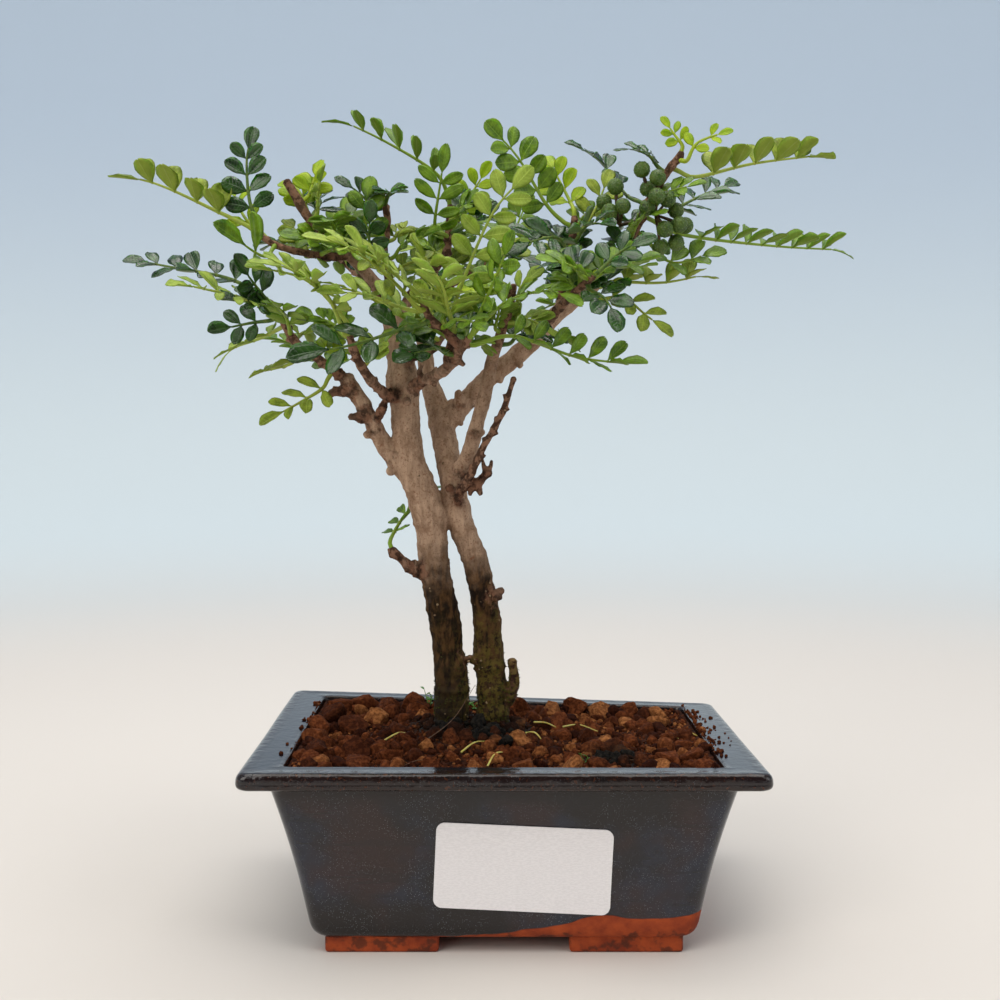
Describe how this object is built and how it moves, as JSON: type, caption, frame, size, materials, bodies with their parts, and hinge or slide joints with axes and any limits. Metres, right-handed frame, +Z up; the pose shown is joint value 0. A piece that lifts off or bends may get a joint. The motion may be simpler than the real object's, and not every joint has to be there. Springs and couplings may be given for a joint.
{
  "type": "chinese pepper bonsai in a glazed rectangular pot",
  "caption": "Small twin-trunk Chinese pepper bonsai with pinnate fronds and green berry bunches, standing in a rectangular glazed pot with an overhanging rim, corner feet and clay granules.",
  "frame": {"origin": "on the surface that the pot stands on, under the middle of the pot, which is also the middle of the whole object's box", "axes": "+X to the right along the pot's long side seen from the front, +Y from the labelled front to the back, +Z up the trunks"},
  "size_m": [0.2375, 0.1441, 0.2527],
  "materials": {
    "akadama": "matt baked clay granules in dark potting mix",
    "bark": "grey-brown bark with pale lenticels",
    "berry": "pimpled olive-green skin",
    "glaze": "glossy dark navy stoneware glaze over orange terracotta",
    "label_paper": "satin white sticker",
    "leaf_dark": "glossy dark green leaf",
    "leaf_lime": "satin young lime leaf",
    "leaf_mid": "satin mid green leaf",
    "leaf_olive": "satin olive leaf underside",
    "leaf_pale": "satin pale green leaf",
    "mesh_plastic": "black plastic"
  },
  "bodies": {
    "root": {"blank_label": "label_paper", "drain_mesh_left": "mesh_plastic", "drain_mesh_right": "mesh_plastic", "frond_back_centre": "leaf_mid", "frond_back_centre_left": "leaf_mid", "frond_back_left_far": "leaf_mid", "frond_back_left_rise": "leaf_mid", "frond_back_right_far": "leaf_mid", "frond_centre_bright": "leaf_lime", "frond_centre_front": "leaf_pale", "frond_centre_long": "leaf_mid", "frond_centre_rise": "leaf_pale", "frond_centre_tall": "leaf_mid", "frond_centre_upright": "leaf_mid", "frond_front_left_dark": "leaf_dark", "frond_front_left_high": "leaf_pale", "frond_front_left_long": "leaf_pale", "frond_front_left_mid": "leaf_pale", "frond_front_right_arch": "leaf_mid", "frond_glossy_left": "leaf_dark", "frond_glossy_right": "leaf_dark", "frond_inner_bright": "leaf_lime", "frond_inner_low": "leaf_mid", "frond_left_back": "leaf_lime", "frond_left_bright": "leaf_lime", "frond_left_dark": "leaf_dark", "frond_left_drooping": "leaf_olive", "frond_left_fan": "leaf_dark", "frond_left_hanging": "leaf_pale", "frond_left_long": "leaf_olive", "frond_left_pair": "leaf_mid", "frond_left_pale": "leaf_pale", "frond_left_rear": "leaf_mid", "frond_left_under": "leaf_olive", "frond_left_upright": "leaf_dark", "frond_low_right": "leaf_mid", "frond_low_round": "leaf_mid", "frond_middle_dark": "leaf_dark", "frond_middle_fan": "leaf_mid", "frond_middle_low": "leaf_pale", "frond_notched": "leaf_olive", "frond_right_cross": "leaf_dark", "frond_right_droop": "leaf_olive", "frond_right_glossy": "leaf_dark", "frond_right_hanging": "leaf_dark", "frond_right_long": "leaf_olive", "frond_right_point": "leaf_dark", "frond_right_short": "leaf_mid", "frond_right_thin": "leaf_mid", "frond_right_under": "leaf_olive", "frond_tip_bud": "leaf_lime", "frond_tip_left": "leaf_dark", "frond_tip_young": "leaf_lime", "frond_trunk_shoot": "leaf_mid", "fruit_left": "berry", "fruit_right": "berry", "pot": "glaze", "soil": "akadama", "tree_wood": "bark"}
  },
  "joints": []
}
